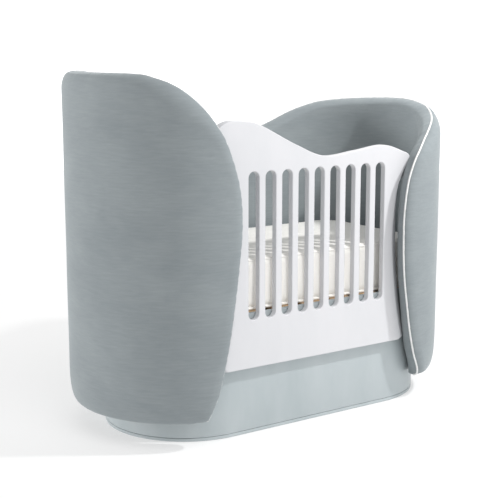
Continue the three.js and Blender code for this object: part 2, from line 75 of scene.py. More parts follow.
# %% fair curves
def fair_curve(marks, steps=16):
    pts = np.array([marks[0], *marks, marks[-1]], float)
    out = []
    for a, b, c, d in zip(pts, pts[1:], pts[2:], pts[3:]):
        for t in np.arange(steps) / steps:
            out.append(0.5 * (2 * b + (c - a) * t + (2 * a - 5 * b + 4 * c - d) * t * t
                              + (3 * b - a - 3 * c + d) * t ** 3))
    out.append(pts[-1])
    return np.array(out)


def even_steps(line, step):
    lengths = np.r_[0, np.cumsum(np.linalg.norm(np.diff(line, axis=0), axis=1))]
    count = max(int(round(lengths[-1] / step)), 2)
    at = np.linspace(0, lengths[-1], count + 1)
    return np.stack([np.interp(at, lengths, line[:, k]) for k in range(line.shape[1])], axis=1)


def ease(value, low, high):
    t = np.clip((np.asarray(value, float) - low) / (high - low), 0, 1)
    return t * t * (3 - 2 * t)


print("points on a test curve:", len(fair_curve([(0, 0), (1, 1), (2, 0)])))

# %% [markdown]
# ## Meshes
# Every sewn or lofted piece here is a grid of points turned into faces. One helper builds the mesh,
# joins points that fall together, turns the faces outward and smooths them.

# %% from points to a piece
def make_piece(name, points, faces, weld=0.00005, sharp=None):
    mesh = bpy.data.meshes.new(name)
    mesh.from_pydata([tuple(p) for p in points], [], faces)
    bm = bmesh.new()
    bm.from_mesh(mesh)
    bmesh.ops.remove_doubles(bm, verts=bm.verts, dist=weld)
    bmesh.ops.dissolve_degenerate(bm, edges=bm.edges, dist=weld)
    bmesh.ops.recalc_face_normals(bm, faces=bm.faces)
    bm.to_mesh(mesh)
    bm.free()
    mesh.polygons.foreach_set("use_smooth", [True] * len(mesh.polygons))
    if sharp:
        mesh.set_sharp_from_angle(angle=math.radians(sharp))
    piece = bpy.data.objects.new(name, mesh)
    bpy.context.scene.collection.objects.link(piece)
    return piece


def grid_faces(rows, columns, first=0, ring=False):
    faces = []
    for i in range(columns if ring else columns - 1):
        j = (i + 1) % columns
        for k in range(rows - 1):
            faces.append((first + i * rows + k, first + j * rows + k,
                          first + j * rows + k + 1, first + i * rows + k + 1))
    return faces


def on_wall(u, radius, z, side):
    u, radius = np.asarray(u, float), np.asarray(radius, float)
    turn = np.clip(u / SEAM, 0, math.pi)
    flat = HEAD_FLAT if side < 0 else HALF_FLAT
    deeper = (flat - HALF_FLAT) * np.clip((SEAM - radius) / (SEAM - INNER), 0, 1)
    x = flat + (radius - deeper) * np.sin(turn) + np.minimum(u, 0) - np.maximum(u - END_TURN, 0)
    return np.stack([side * x, -radius * np.cos(turn), z + 0 * u], axis=-1)


print("the end of the bed is at x =", round(float(on_wall(END_TURN / 2, OUTER, 0.5, 1)[0]), 3))

# %% [markdown]
# ## The edge of each wall
# The front edge starts low and far back, leans in to a waist, and sweeps out to the crown. The back
# edge drops in a long curve to the middle. The marks are heights and distances along the bed, and they
# are unrolled onto the wall's own surface so that the round end doesn't stretch them.

# %% edge lines
HEAD_HEIGHT = 1363 * MM
FOOT_HEIGHT = 1231 * MM
HEAD_FRONT = [(534, 100), (516, 140), (489, 212), (470, 292), (455, 360), (437, 466), (415, 610), (405, 690),
              (396, 775), (395, 862), (401, 934), (414, 995), (438, 1070), (463, 1131), (492, 1178),
              (530, 1228), (582, 1278), (640, 1319), (700, 1345), (752, 1358)]
FOOT_FRONT = [(525, 100), (510, 130), (486, 170), (462, 217), (434, 316), (410, 443), (396, 528), (388, 611),
              (385, 692), (385, 773), (392, 852), (405, 923), (423, 972), (448, 1016), (484, 1050),
              (520, 1074), (558, 1096), (606, 1128), (664, 1157), (707, 1178), (738, 1197), (760, 1210)]
HEAD_BACK = [(0, 1044), (70, 1074), (180, 1134), (290, 1204), (396, 1258), (480, 1298), (575, 1334), (665, 1355),
             (752, 1362)]
FOOT_BACK = [(0, 1044), (60, 1054), (160, 1080), (286, 1121), (386, 1160), (487, 1193), (575, 1214),
             (708, 1227)]


def unroll(x, flat):
    return math.asin(min(max(x - flat, 0) / SEAM, 1)) * SEAM + min(x - flat, 0)


def edge_line(front, back, height, flat):
    marks = [(unroll(x * MM, flat), z * MM) for x, z in front]
    marks.append((END_TURN * 0.52, height - 2 * MM))
    marks += [(END_TURN - unroll(x * MM, flat), z * MM) for x, z in reversed(back)]
    line = even_steps(fair_curve(marks), EDGE_STEP)
    line[:, 1] = np.minimum(line[:, 1], height)
    return line


head_edge = edge_line(HEAD_FRONT, HEAD_BACK, HEAD_HEIGHT, HEAD_FLAT)
foot_edge = edge_line(FOOT_FRONT, FOOT_BACK, FOOT_HEIGHT, HALF_FLAT)
print("edge lengths:", [round(len(e) * EDGE_STEP, 2) for e in (head_edge, foot_edge)])

# %% [markdown]
# ## Wall covers
# A wall is one fat upholstered shell. The cover could be a solid with a bevel, but a bevel has one
# radius. Foam under velvet has a tight curl outside the piping and a longer, softer roll inside it,
# so the cover is lofted: rows of points run from the seam over the roll and down to the bottom.

# %% lofting a cover
ROLL_ROWS = 14
FALL_ROWS = 46
CURL_FRONT = 40 * MM
CURL_CROWN = 64 * MM
CROWN_SEAM = 392 * MM
ROLL_FRONT = 62 * MM
ROLL_BACK = 30 * MM
TUCK_HEIGHT = 165 * MM
TUCK_DEPTH = 40 * MM


def outer_radius(z):
    low = np.clip((WALL_BOTTOM + TUCK_HEIGHT - z) / TUCK_HEIGHT, 0, 1)
    return OUTER - TUCK_DEPTH * (1 - np.cbrt(np.clip(1 - low ** 3, 0, 1)))


def seam_radius(z, crown):
    seam = SEAM + (CROWN_SEAM - SEAM) * crown
    return INNER + (seam - INNER) * (outer_radius(z) - INNER) / (OUTER - INNER)


def crown_share(edge):
    share = ease(edge[:, 1], 1.0, 1.1) * ease(edge[:, 0], 0.0, 0.2)
    return np.maximum(share, ease(edge[:, 0], 0.3, 0.5))


def inward(edge):
    along = np.gradient(edge, axis=0)
    normal = np.stack([along[:, 1], -along[:, 0]], axis=1)
    normal /= np.linalg.norm(normal, axis=1)[:, None]
    level = 1 - ease(np.arange(len(edge)) * EDGE_STEP, 0, 0.13)
    normal = normal * (1 - level)[:, None] + np.array([1.0, 0.0]) * level[:, None]
    upright = 1 - ease(np.arange(len(edge))[::-1] * EDGE_STEP, 0, 0.16)
    normal = normal * (1 - upright)[:, None] + np.array([0.0, -1.0]) * upright[:, None]
    return normal / np.linalg.norm(normal, axis=1)[:, None]


def bottom_line(edge):
    last_front = int(np.argmax(edge[:, 0] > END_TURN / 2))
    share = np.linspace(0, 1, last_front + 1) ** 1.15
    start = edge[0, 0] + ROLL_FRONT
    bottom = edge[:, 0].copy()
    bottom[: last_front + 1] = start + (edge[last_front, 0] - start) * share
    return bottom


def cover_columns(edge, inside):
    normal, bottom = inward(edge), bottom_line(edge)
    front = 1 - ease(edge[:, 0], 0.25, 0.55)
    crown = crown_share(edge)
    reach = CURL_FRONT + (CURL_CROWN - CURL_FRONT) * crown
    if inside:
        reach = ROLL_BACK + (ROLL_FRONT - ROLL_BACK) * front
    columns = []
    for (u, z), n, ub, depth, high in zip(edge, normal, bottom, reach, crown):
        angle = np.linspace(0, math.pi / 2, ROLL_ROWS)
        back = depth * (1 - np.cos(angle))
        roll_u, roll_z = u + n[0] * back, z + n[1] * back
        fall = 1 - (1 - np.arange(1, FALL_ROWS + 1) / FALL_ROWS) ** 1.7
        fall_u = roll_u[-1] + (ub - roll_u[-1]) * fall
        fall_z = roll_z[-1] + (WALL_BOTTOM - roll_z[-1]) * fall
        rise = np.r_[np.sin(angle), np.ones(FALL_ROWS)]
        columns.append((np.r_[roll_u, fall_u], np.r_[roll_z, fall_z], rise, high))
    return columns


def wall_cover(name, edge, side):
    points, faces, rows = [], [], ROLL_ROWS + FALL_ROWS
    for inside in (False, True):
        for u, z, rise, high in cover_columns(edge, inside):
            far = np.full(rows, INNER) if inside else outer_radius(z)
            seam = seam_radius(z, high)
            radius = seam + (far - seam) * rise
            points.extend(on_wall(u, radius, z, side))
    half = len(edge) * rows
    for first in (0, half):
        faces += grid_faces(rows, len(edge), first)
    for i in range(len(edge) - 1):
        a, b = i * rows + rows - 1, (i + 1) * rows + rows - 1
        faces.append((a, b, b + half, a + half))
    for first in (0, half - rows):
        for k in range(rows - 1):
            a = first + k
            faces.append((a, a + 1, a + 1 + half, a + half))
    return make_piece(name, points, faces, weld=0.0004)


head_cover = wall_cover("head_cover", head_edge, -1)
foot_cover = wall_cover("foot_cover", foot_edge, 1)
print("cover faces:", len(head_cover.data.polygons), len(foot_cover.data.polygons))

# %% [markdown]
# ## Puckers
# Velvet pulled over foam is never quite true. The stitches along the piping draw the cloth into small
# puckers, and the foam lets wide faces rise and sink a little. Each point moves a fraction of a
# millimetre along its normal, by slow waves that depend only on where the point is. The join behind the
# bed is held true, so that the two walls still meet.

# %% soften a cover
def soften(piece, edge, side):
    seam = on_wall(edge[:, 0], seam_radius(edge[:, 1], crown_share(edge)), edge[:, 1], side)
    tree = BVHTree.FromPolygons([tuple(p) for p in seam], [(i, i + 1, i) for i in range(len(seam) - 1)])
    moves = []
    for v in piece.data.vertices:
        hit, _, index, distance = tree.find_nearest(v.co, 0.12)
        swell = 0.6 * MM * math.sin(9.1 * v.co.x + 7.3 * v.co.z) * math.sin(6.2 * v.co.y - 8.4 * v.co.z)
        pucker = 0.0
        if hit is not None:
            fade = math.exp(-distance / 0.028) * (1 - math.exp(-distance / 0.006))
            step = index + (hit - Vector(seam[index])).length / EDGE_STEP
            pucker = 1.3 * MM * fade * (math.sin(step * 2.1) + 0.6 * math.sin(step * 1.23 + 1.0))
        held = min(abs(v.co.x) / 0.05, 1)
        moves.append(v.normal * (swell + pucker) * held)
    for v, move in zip(piece.data.vertices, moves):
        v.co += move
    piece.data.update()


soften(head_cover, head_edge, -1)
soften(foot_cover, foot_edge, 1)
print("covers softened")

# %% [markdown]
# ## Piping
# Piping is a cord wrapped in white cloth and caught in the seam. A round tube along the edge line is
# enough. It stands proud of the velvet on the low wall, and is tucked deeper in the tall one, where the
# outer cover rolls over it.

# %% tubes along a line
def tube(name, path, radius, closed=False, sides=10):
    path = np.asarray(path, float)
    ahead = np.roll(path, -1, 0) - np.roll(path, 1, 0) if closed else np.gradient(path, axis=0)
    ahead /= np.linalg.norm(ahead, axis=1)[:, None]
    up = np.array([0.0, 0.0, 1.0])
    points, side_axis = [], None
    for p, t in zip(path, ahead):
        start = np.cross(t, up) if side_axis is None else side_axis
        side_axis = start - t * np.dot(start, t)
        side_axis /= np.linalg.norm(side_axis)
        other = np.cross(t, side_axis)
        for k in range(sides):
            a = 2 * math.pi * k / sides
            points.append(p + radius * (math.cos(a) * side_axis + math.sin(a) * other))
    count, faces = len(path), []
    for i in range(count if closed else count - 1):
        j = (i + 1) % count
        for k in range(sides):
            m = (k + 1) % sides
            faces.append((i * sides + k, j * sides + k, j * sides + m, i * sides + m))
    if not closed:
        faces += [tuple(range(sides)), tuple(range((count - 1) * sides, count * sides))]
    return make_piece(name, points, faces, weld=0.00001)


def piping_path(edge, side, tuck, sink):
    line = even_steps(edge, 6 * MM)
    share = np.linspace(0, 1, len(edge))
    normal = np.stack([np.interp(np.linspace(0, 1, len(line)), share, n) for n in inward(edge).T], axis=1)
    line = line + normal * tuck
    radius = seam_radius(line[:, 1], crown_share(line)) - sink
    return on_wall(line[:, 0], radius, line[:, 1], side)


head_piping = tube("head_piping_cord", piping_path(head_edge, -1, 2.4 * MM, 2.0 * MM), 3.4 * MM)
foot_piping = tube("foot_piping_cord", piping_path(foot_edge, 1, 0.2 * MM, 0.2 * MM), 3.8 * MM)
print("piping points:", len(head_piping.data.vertices), len(foot_piping.data.vertices))

# %% [markdown]
# ## Front panel
# The panel is one board with nine long slots and a wave along its top. Cutting the slots out of a
# block would leave knife edges. A flat curve with holes can be filled and given a small round bevel all
# round, inside the slots too, and that is how a router leaves a lacquered board.

# %% the panel's outline
PANEL_FRONT = -355 * MM
PANEL_THICK = 26 * MM
PANEL_ARRIS = 3.2 * MM
PANEL_WAIST = 374 * MM
PANEL_SIDE_BEVEL = 40 * MM
WAIST_HEIGHT = 690 * MM
SLOT_PITCH = 75.95 * MM
SLOT_WIDTH = 47.4 * MM
SLOT_TOP = 1003 * MM
SLOT_BOTTOM = 448 * MM
PANEL_RIGHT = [(430, 287), (396, 455), (374, 690), (391.5, 870), (418.5, 945), (459, 1014)]
PANEL_WAVE = [(459, 1014), (450, 1029), (420, 1042), (319, 1071), (181, 1056), (24, 1044), (-110, 1092),
              (-272, 1170), (-340, 1187), (-400, 1190), (-448, 1170), (-470, 1140), (-474, 1115)]
PANEL_LEFT = [(-474, 1115), (-430, 985), (-392, 870), (-374, 690), (-396, 455), (-430, 287)]


def arc(cx, cz, radius, start, stop, count=10):
    turns = np.radians(np.linspace(start, stop, count))
    return np.stack([cx + radius * np.cos(turns), cz + radius * np.sin(turns)], axis=1)


def panel_outline():
    right = even_steps(fair_curve(np.array(PANEL_RIGHT) * MM), 9 * MM)
    wave = even_steps(fair_curve(np.array(PANEL_WAVE) * MM), 6 * MM)
    left = even_steps(fair_curve(np.array(PANEL_LEFT) * MM), 9 * MM)
    corner = 22 * MM
    low_right = arc(430 * MM - corner + 3 * MM, 265 * MM + corner, corner, -90, -8)
    low_left = low_right[::-1] * np.array([-1, 1])
    return np.concatenate([low_right, right, wave[1:-1], left, low_left])


def slot_outline(x):
    r = SLOT_WIDTH / 2
    return np.concatenate([arc(x, SLOT_TOP - r, r, 0, 180, 15), arc(x, SLOT_BOTTOM + r, r, 180, 360, 15)])


print("outline points:", len(panel_outline()))

# %% the panel's board
def filled_board(name, outlines, thick, arris):
    curve = bpy.data.curves.new(name, "CURVE")
    curve.dimensions, curve.fill_mode = "2D", "BOTH"
    for outline in outlines:
        spline = curve.splines.new("POLY")
        spline.points.add(len(outline) - 1)
        for point, (x, z) in zip(spline.points, outline):
            point.co = (x, z, 0, 1)
        spline.use_cyclic_u = True
    curve.extrude = thick / 2 - arris
    curve.bevel_depth, curve.bevel_resolution, curve.offset = arris, 3, -arris
    holder = bpy.data.objects.new(name + "_curve", curve)
    bpy.context.scene.collection.objects.link(holder)
    bpy.context.view_layer.update()
    mesh = bpy.data.meshes.new_from_object(holder.evaluated_get(bpy.context.evaluated_depsgraph_get()))
    bpy.data.objects.remove(holder)
    points = np.array([v.co for v in mesh.vertices])
    faces = [tuple(p.vertices) for p in mesh.polygons]
    upright = np.stack([points[:, 0], -points[:, 2], points[:, 1]], axis=1)
    return upright, faces


slots = [slot_outline(SLOT_PITCH * (i - 4)) for i in range(9)]
points, faces = filled_board("front_panel_board", [panel_outline(), *slots], PANEL_THICK, PANEL_ARRIS)
points[:, 1] += PANEL_FRONT + PANEL_THICK / 2
back = np.clip((points[:, 1] - PANEL_FRONT) / PANEL_THICK, 0, 1)
sideways = ease(np.abs(points[:, 0]), 0.9 * PANEL_WAIST, PANEL_WAIST)
upper = ease(points[:, 2], WAIST_HEIGHT, SLOT_TOP)
bevel = PANEL_SIDE_BEVEL * (1 - 0.65 * upper)
points[:, 0] += np.sign(points[:, 0]) * back * sideways * bevel
panel = make_piece("front_panel_board", points, faces, weld=0.00002, sharp=50)
smoothing = panel.modifiers.new("flat faces stay flat", "WEIGHTED_NORMAL")
smoothing.weight, smoothing.keep_sharp = 100, True
print("panel faces:", len(panel.data.polygons))

# %% [markdown]
# ## Plinth
# The plinth is a bent skin on an oval floor, with a separate strip along its foot. Both are rings: one
# small section swept round the oval. The section has its own softened arrises, as painted edges do.

# %% rings round the oval
def oval_loop(radius, flat, arc_count=44):
    turns = np.radians(np.linspace(-90, 90, arc_count))
    right = np.stack([flat + radius * np.cos(turns), radius * np.sin(turns)], axis=1)
    straight = np.linspace(1, -1, 14)[1:-1, None] * np.array([[flat, 0]]) + np.array([[0, radius]])
    return np.concatenate([right, straight, -right, -straight])


def oval_ring(name, section, flat):
    loops = [oval_loop(radius, flat) for radius, _ in section]
    count, rows = len(loops[0]), len(section)
    points = [(*loops[k][i], section[k][1]) for i in range(count) for k in range(rows)]
    faces = grid_faces(rows, count, ring=True)
    for i in range(count):
        j = (i + 1) % count
        faces.append((i * rows + rows - 1, j * rows + rows - 1, j * rows, i * rows))
    return make_piece(name, points, faces, sharp=50)


def soft_section(outer, inner, low, high, ease_by):
    e = ease_by
    return [(outer - e, low), (outer - 0.3 * e, low + 0.3 * e), (outer, low + e), (outer, (low + high) / 2),
            (outer, high - e), (outer - 0.3 * e, high - 0.3 * e), (outer - e, high), (inner, high), (inner, low)]


PLINTH_FLAT = 380 * MM
plinth = oval_ring("plinth_side", soft_section(327 * MM, 318 * MM, 15.5 * MM, 471 * MM, 1.5 * MM), PLINTH_FLAT)
strip = oval_ring("plinth_base_strip", soft_section(327 * MM, 318 * MM, 2 * MM, 14 * MM, 1.2 * MM), PLINTH_FLAT)
print("plinth faces:", len(plinth.data.polygons), len(strip.data.polygons))

# %% [markdown]
# ## Mattress
# A cot mattress is a foam slab in a linen cover. The slab could be a rounded block, but a block has no
# tension in it. Blender's cloth, blown up slightly with the weight turned off, crowns the faces and
# rounds the edges like a stuffed cover. The movement is capped so that it still fits the space.

# %% inflate the mattress
def cloth_swell(piece, pressure, cap, frames=20):
    start = np.array([v.co for v in piece.data.vertices])
    cloth = piece.modifiers.new("stuffing", "CLOTH")
    cloth.settings.use_pressure = True
    cloth.settings.uniform_pressure_force = pressure
    cloth.settings.effector_weights.gravity = 0
    cloth.settings.mass = 0.3
    cloth.settings.tension_stiffness = 40
    cloth.point_cache.frame_start, cloth.point_cache.frame_end = 1, frames
    scene = bpy.context.scene
    for step in range(1, frames + 1):
        scene.frame_set(step)
    shaped = piece.evaluated_get(bpy.context.evaluated_depsgraph_get()).to_mesh()
    end = np.array([v.co for v in shaped.vertices])
    piece.modifiers.remove(cloth)
    scene.frame_set(1)
    move = end - start
    far = np.linalg.norm(move, axis=1)
    move *= (np.minimum(far, cap) / np.maximum(far, 1e-9))[:, None]
    for v, p in zip(piece.data.vertices, start + move):
        v.co = p
    piece.data.update()
    return far.max()


def mattress_block():
    low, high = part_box("mattress")
    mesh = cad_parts["mattress"].data.copy()
    block = bpy.data.objects.new("mattress_cover", mesh)
    bpy.context.scene.collection.objects.link(block)
    middle = (low + high) / 2
    size = high - low
    for v in mesh.vertices:
        for k, shrink in enumerate((6 * MM, -12 * MM, 7 * MM)):
            v.co[k] = middle[k] + (v.co[k] - middle[k]) * (1 - shrink / size[k])
        v.co.z -= 2 * MM
    remesh = block.modifiers.new("even cloth", "REMESH")
    remesh.mode, remesh.voxel_size = "VOXEL", 14 * MM
    shaped = bpy.data.meshes.new_from_object(block.evaluated_get(bpy.context.evaluated_depsgraph_get()))
    block.modifiers.clear()
    block.data = shaped
    return block


mattress = mattress_block()
print("mattress swell:", round(float(cloth_swell(mattress, 4.0, 6 * MM)), 4))
low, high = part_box("mattress")
for v in mattress.data.vertices:
    v.co.z = max(v.co.z, low.z)
extra = mattress.modifiers.new("finer cover", "SUBSURF")
extra.levels = extra.render_levels = 1
shaped = bpy.data.meshes.new_from_object(mattress.evaluated_get(bpy.context.evaluated_depsgraph_get()))
mattress.modifiers.clear()
mattress.data = shaped
mattress.data.polygons.foreach_set("use_smooth", [True] * len(mattress.data.polygons))
print("mattress faces:", len(mattress.data.polygons))

# %% mattress creases
def crease(piece, low, high):
    normals = [v.normal.copy() for v in piece.data.vertices]
    for v, normal in zip(piece.data.vertices, normals):
        edge = math.exp(-abs(v.co.z - high.z + 0.02) / 0.03) + math.exp(-abs(v.co.z - low.z - 0.02) / 0.03)
        wave = math.sin(61 * v.co.x + 3 * math.sin(9 * v.co.x)) * math.sin(47 * v.co.y + 2 * math.sin(11 * v.co.y))
        slow = math.sin(13 * v.co.x + 2.2) * math.sin(17 * v.co.y + 25 * v.co.z)
        v.co += normal * (0.7 * MM * edge * wave + 0.8 * MM * slow)
        v.co.z = max(v.co.z, low.z)
    piece.data.update()


def welt(name, piece, z, radius, proud):
    tree = BVHTree.FromObject(piece, bpy.context.evaluated_depsgraph_get())
    path = []
    for turn in np.linspace(0, 2 * math.pi, 241)[:-1]:
        away = Vector((math.cos(turn) * 0.8, math.sin(turn) * 0.5, 0)).normalized()
        start = Vector((math.copysign(max(abs(away.x) * 1.2 - 0.9, 0), away.x), 0, z))
        hit = tree.ray_cast(start + away * 0.9, -away)[0]
        path.append(tuple(hit + away * proud))
    return tube(name, even_steps(np.array([*path, path[0]]), 12 * MM)[:-1], radius, closed=True, sides=8)


crease(mattress, low, high)
bpy.context.view_layer.update()
top_welt = welt("mattress_top_welt", mattress, high.z - 19 * MM, 2.6 * MM, 0.6 * MM)
low_welt = welt("mattress_low_welt", mattress, low.z + 6.2 * MM, 6 * MM, 5 * MM)
print("welts:", len(top_welt.data.vertices), len(low_welt.data.vertices))

# %% [markdown]
# ## Finishes
# Each finish is a small tree of nodes. The texture position is the object's own, in metres, so a nap or
# a grain has a real size and needs no unwrapping. A stretch makes streaks along the direction where it
# is small.

# %% helpers for finishes
def finish_nodes(name):
    material = bpy.data.materials.new(name)
    material.use_nodes = True
    tree = material.node_tree
    shader = tree.nodes["Principled BSDF"]
    place = tree.nodes.new("ShaderNodeTexCoord")
    return material, tree, shader, place.outputs["Object"]


def grain(tree, place, stretch, scale, detail=4.0, rough=0.55, twist=0.0):
    lay = tree.nodes.new("ShaderNodeMapping")
    lay.inputs["Scale"].default_value = stretch
    noise = tree.nodes.new("ShaderNodeTexNoise")
    noise.inputs["Scale"].default_value = scale
    noise.inputs["Detail"].default_value = detail
    noise.inputs["Roughness"].default_value = rough
    noise.inputs["Distortion"].default_value = twist
    tree.links.new(place, lay.inputs["Vector"])
    tree.links.new(lay.outputs["Vector"], noise.inputs["Vector"])
    return noise.outputs["Fac"]


def shades(tree, value, stops):
    ramp = tree.nodes.new("ShaderNodeValToRGB")
    ramp.color_ramp.elements[0].position, ramp.color_ramp.elements[1].position = stops[0][0], stops[-1][0]
    ramp.color_ramp.elements[0].color = (*stops[0][1], 1)
    ramp.color_ramp.elements[1].color = (*stops[-1][1], 1)
    for at, colour in stops[1:-1]:
        ramp.color_ramp.elements.new(at).color = (*colour, 1)
    tree.links.new(value, ramp.inputs["Fac"])
    return ramp.outputs["Color"]


def multiply(tree, a, b, amount):
    mix = tree.nodes.new("ShaderNodeMix")
    mix.data_type, mix.blend_type = "RGBA", "MULTIPLY"
    mix.inputs["Factor"].default_value = amount
    tree.links.new(a, mix.inputs["A"])
    tree.links.new(b, mix.inputs["B"])
    return mix.outputs["Result"]


def relief(tree, shader, heights):
    normal = None
    for value, strength, depth in heights:
        bump = tree.nodes.new("ShaderNodeBump")
        bump.inputs["Strength"].default_value = strength
        bump.inputs["Distance"].default_value = depth
        tree.links.new(value, bump.inputs["Height"])
        if normal is not None:
            tree.links.new(normal, bump.inputs["Normal"])
        normal = bump.outputs["Normal"]
    tree.links.new(normal, shader.inputs["Normal"])


def between(tree, value, low, high):
    span = tree.nodes.new("ShaderNodeMapRange")
    span.inputs["To Min"].default_value, span.inputs["To Max"].default_value = low, high
    tree.links.new(value, span.inputs["Value"])
    return span.outputs["Result"]


print("finish helpers ready")

# %% [markdown]
# ### Velvet
# Short pile throws light back at grazing angles, so its edges glow and its middle is deep. The sheen on
# the shader does that. The pile also lies in bands from brushing: long level streaks, and wide patches.

# %% velvet
def velvet_finish(name, deep, pale):
    material, tree, shader, place = finish_nodes(name)
    streaks = grain(tree, place, (1.0, 1.0, 9.0), 16.0, 6.0, 0.6, 0.4)
    patches = grain(tree, place, (1.0, 1.0, 1.6), 4.2, 3.0, 0.5, 0.6)
    pile = grain(tree, place, (1.0, 1.0, 1.4), 900.0, 2.0, 0.6)
    colour = shades(tree, streaks, [(0.25, deep), (0.78, pale)])
    cloud = shades(tree, patches, [(0.3, (0.86, 0.87, 0.88)), (0.7, (1.0, 1.0, 1.0))])
    fleck = shades(tree, pile, [(0.3, (0.84, 0.84, 0.85)), (0.7, (1.0, 1.0, 1.0))])
    colour = multiply(tree, multiply(tree, colour, cloud, 0.8), fleck, 0.5)
    tree.links.new(colour, shader.inputs["Base Color"])
    tree.links.new(between(tree, streaks, 0.78, 0.95), shader.inputs["Roughness"])
    shader.inputs["Specular IOR Level"].default_value = 0.25
    shader.inputs["Sheen Weight"].default_value = 0.35
    shader.inputs["Sheen Roughness"].default_value = 0.4
    shader.inputs["Sheen Tint"].default_value = (0.86, 0.91, 0.93, 1)
    relief(tree, shader, [(pile, 0.25, 0.0006), (streaks, 0.14, 0.0010), (patches, 0.25, 0.003)])
    return material


velvet = velvet_finish("velvet", (0.255, 0.285, 0.296), (0.300, 0.331, 0.341))
print("made", velvet.name)

# %% [markdown]
# ### White piping and linen
# Both are plain woven cloth. Crossed waves give the threads, and a slow noise keeps them from looking
# printed. The piping is finer and brighter; the mattress linen is warm and thicker.

# %% woven cloths
def woven_finish(name, deep, pale, threads, roughness, depth):
    material, tree, shader, place = finish_nodes(name)
    weave = []
    for axis in ("X", "Y", "Z"):
        wave = tree.nodes.new("ShaderNodeTexWave")
        wave.bands_direction = axis
        wave.inputs["Scale"].default_value = threads
        wave.inputs["Distortion"].default_value = 0.6
        wave.inputs["Detail"].default_value = 1.0
        tree.links.new(place, wave.inputs["Vector"])
        weave.append(wave.outputs["Color"])
    cloth = multiply(tree, multiply(tree, weave[0], weave[1], 0.6), weave[2], 0.6)
    slub = grain(tree, place, (1.0, 1.0, 3.0), 60.0, 5.0, 0.6)
    colour = shades(tree, slub, [(0.3, deep), (0.7, pale)])
    tree.links.new(multiply(tree, colour, cloth, 0.06), shader.inputs["Base Color"])
    tree.links.new(between(tree, slub, roughness - 0.06, roughness + 0.06), shader.inputs["Roughness"])
    shader.inputs["Sheen Weight"].default_value = 0.15
    relief(tree, shader, [(cloth, 0.3, depth), (slub, 0.25, depth)])
    return material


piping_cloth = woven_finish("piping", (0.84, 0.84, 0.83), (0.93, 0.93, 0.92), 520.0, 0.7, 0.0004)
linen = woven_finish("linen", (0.95, 0.93, 0.88), (0.98, 0.965, 0.93), 260.0, 0.88, 0.0005)
print("made", piping_cloth.name, linen.name)

# %% [markdown]
# ### Lacquer and paint
# Sprayed lacquer is smooth but never a mirror: it keeps a fine orange peel and a trace of the board
# under it. The plinth's satin paint has a little more texture and a faint level drag from the roller.

# %% sprayed finishes
def sprayed_finish(name, deep, pale, roughness, peel, coat):
    material, tree, shader, place = finish_nodes(name)
    tone = grain(tree, place, (1.0, 1.0, 0.35), 7.0, 4.0, 0.55)
    skin = grain(tree, place, (1.0, 1.0, 1.0), 420.0, 2.0, 0.5)
    drag = grain(tree, place, (1.0, 1.0, 26.0), 9.0, 4.0, 0.5)
    tree.links.new(shades(tree, tone, [(0.3, deep), (0.7, pale)]), shader.inputs["Base Color"])
    tree.links.new(between(tree, drag, roughness - 0.06, roughness + 0.08), shader.inputs["Roughness"])
    shader.inputs["Specular IOR Level"].default_value = 0.4
    shader.inputs["Coat Weight"].default_value = coat
    shader.inputs["Coat Roughness"].default_value = 0.25
    relief(tree, shader, [(skin, 0.12, peel), (drag, 0.10, peel)])
    return material


lacquer = sprayed_finish("lacquer", (0.62, 0.625, 0.645), (0.66, 0.66, 0.68), 0.36, 0.0003, 0.15)
paint = sprayed_finish("paint", (0.40, 0.45, 0.465), (0.465, 0.51, 0.525), 0.5, 0.0005, 0.05)
print("made", lacquer.name, paint.name)

# %% [markdown]
# ### Wood, cloth, metal and nylon inside
# The frame under the velvet keeps its measured shapes. Beech has short dark flecks along the grain,
# plywood has long soft figure, the dust cover is black cloth, bolts are plated and the glides are nylon.

# %% frame finishes
def wood_finish(name, deep, pale, stretch, scale, fleck):
    material, tree, shader, place = finish_nodes(name)
    figure = grain(tree, place, stretch, scale, 6.0, 0.6, 1.2)
    rays = grain(tree, place, tuple(3 * s for s in stretch), scale * 5, 3.0, 0.5)
    colour = shades(tree, figure, [(0.25, deep), (0.55, tuple((a + b) / 2 for a, b in zip(deep, pale))), (0.8, pale)])
    dark = shades(tree, rays, [(0.32, (fleck, fleck * 0.94, fleck * 0.88)), (0.46, (1.0, 1.0, 1.0))])
    tree.links.new(multiply(tree, colour, dark, 0.5), shader.inputs["Base Color"])
    tree.links.new(between(tree, figure, 0.5, 0.68), shader.inputs["Roughness"])
    relief(tree, shader, [(figure, 0.2, 0.0006), (rays, 0.2, 0.0004)])
    return material


def plain_finish(name, deep, pale, scale, roughness, depth, metal=0.0):
    material, tree, shader, place = finish_nodes(name)
    marks = grain(tree, place, (1.0, 1.0, 1.0), scale, 5.0, 0.6)
    tree.links.new(shades(tree, marks, [(0.3, deep), (0.7, pale)]), shader.inputs["Base Color"])
    tree.links.new(between(tree, marks, roughness - 0.08, roughness + 0.08), shader.inputs["Roughness"])
    shader.inputs["Metallic"].default_value = metal
    relief(tree, shader, [(marks, 0.25, depth)])
    return material


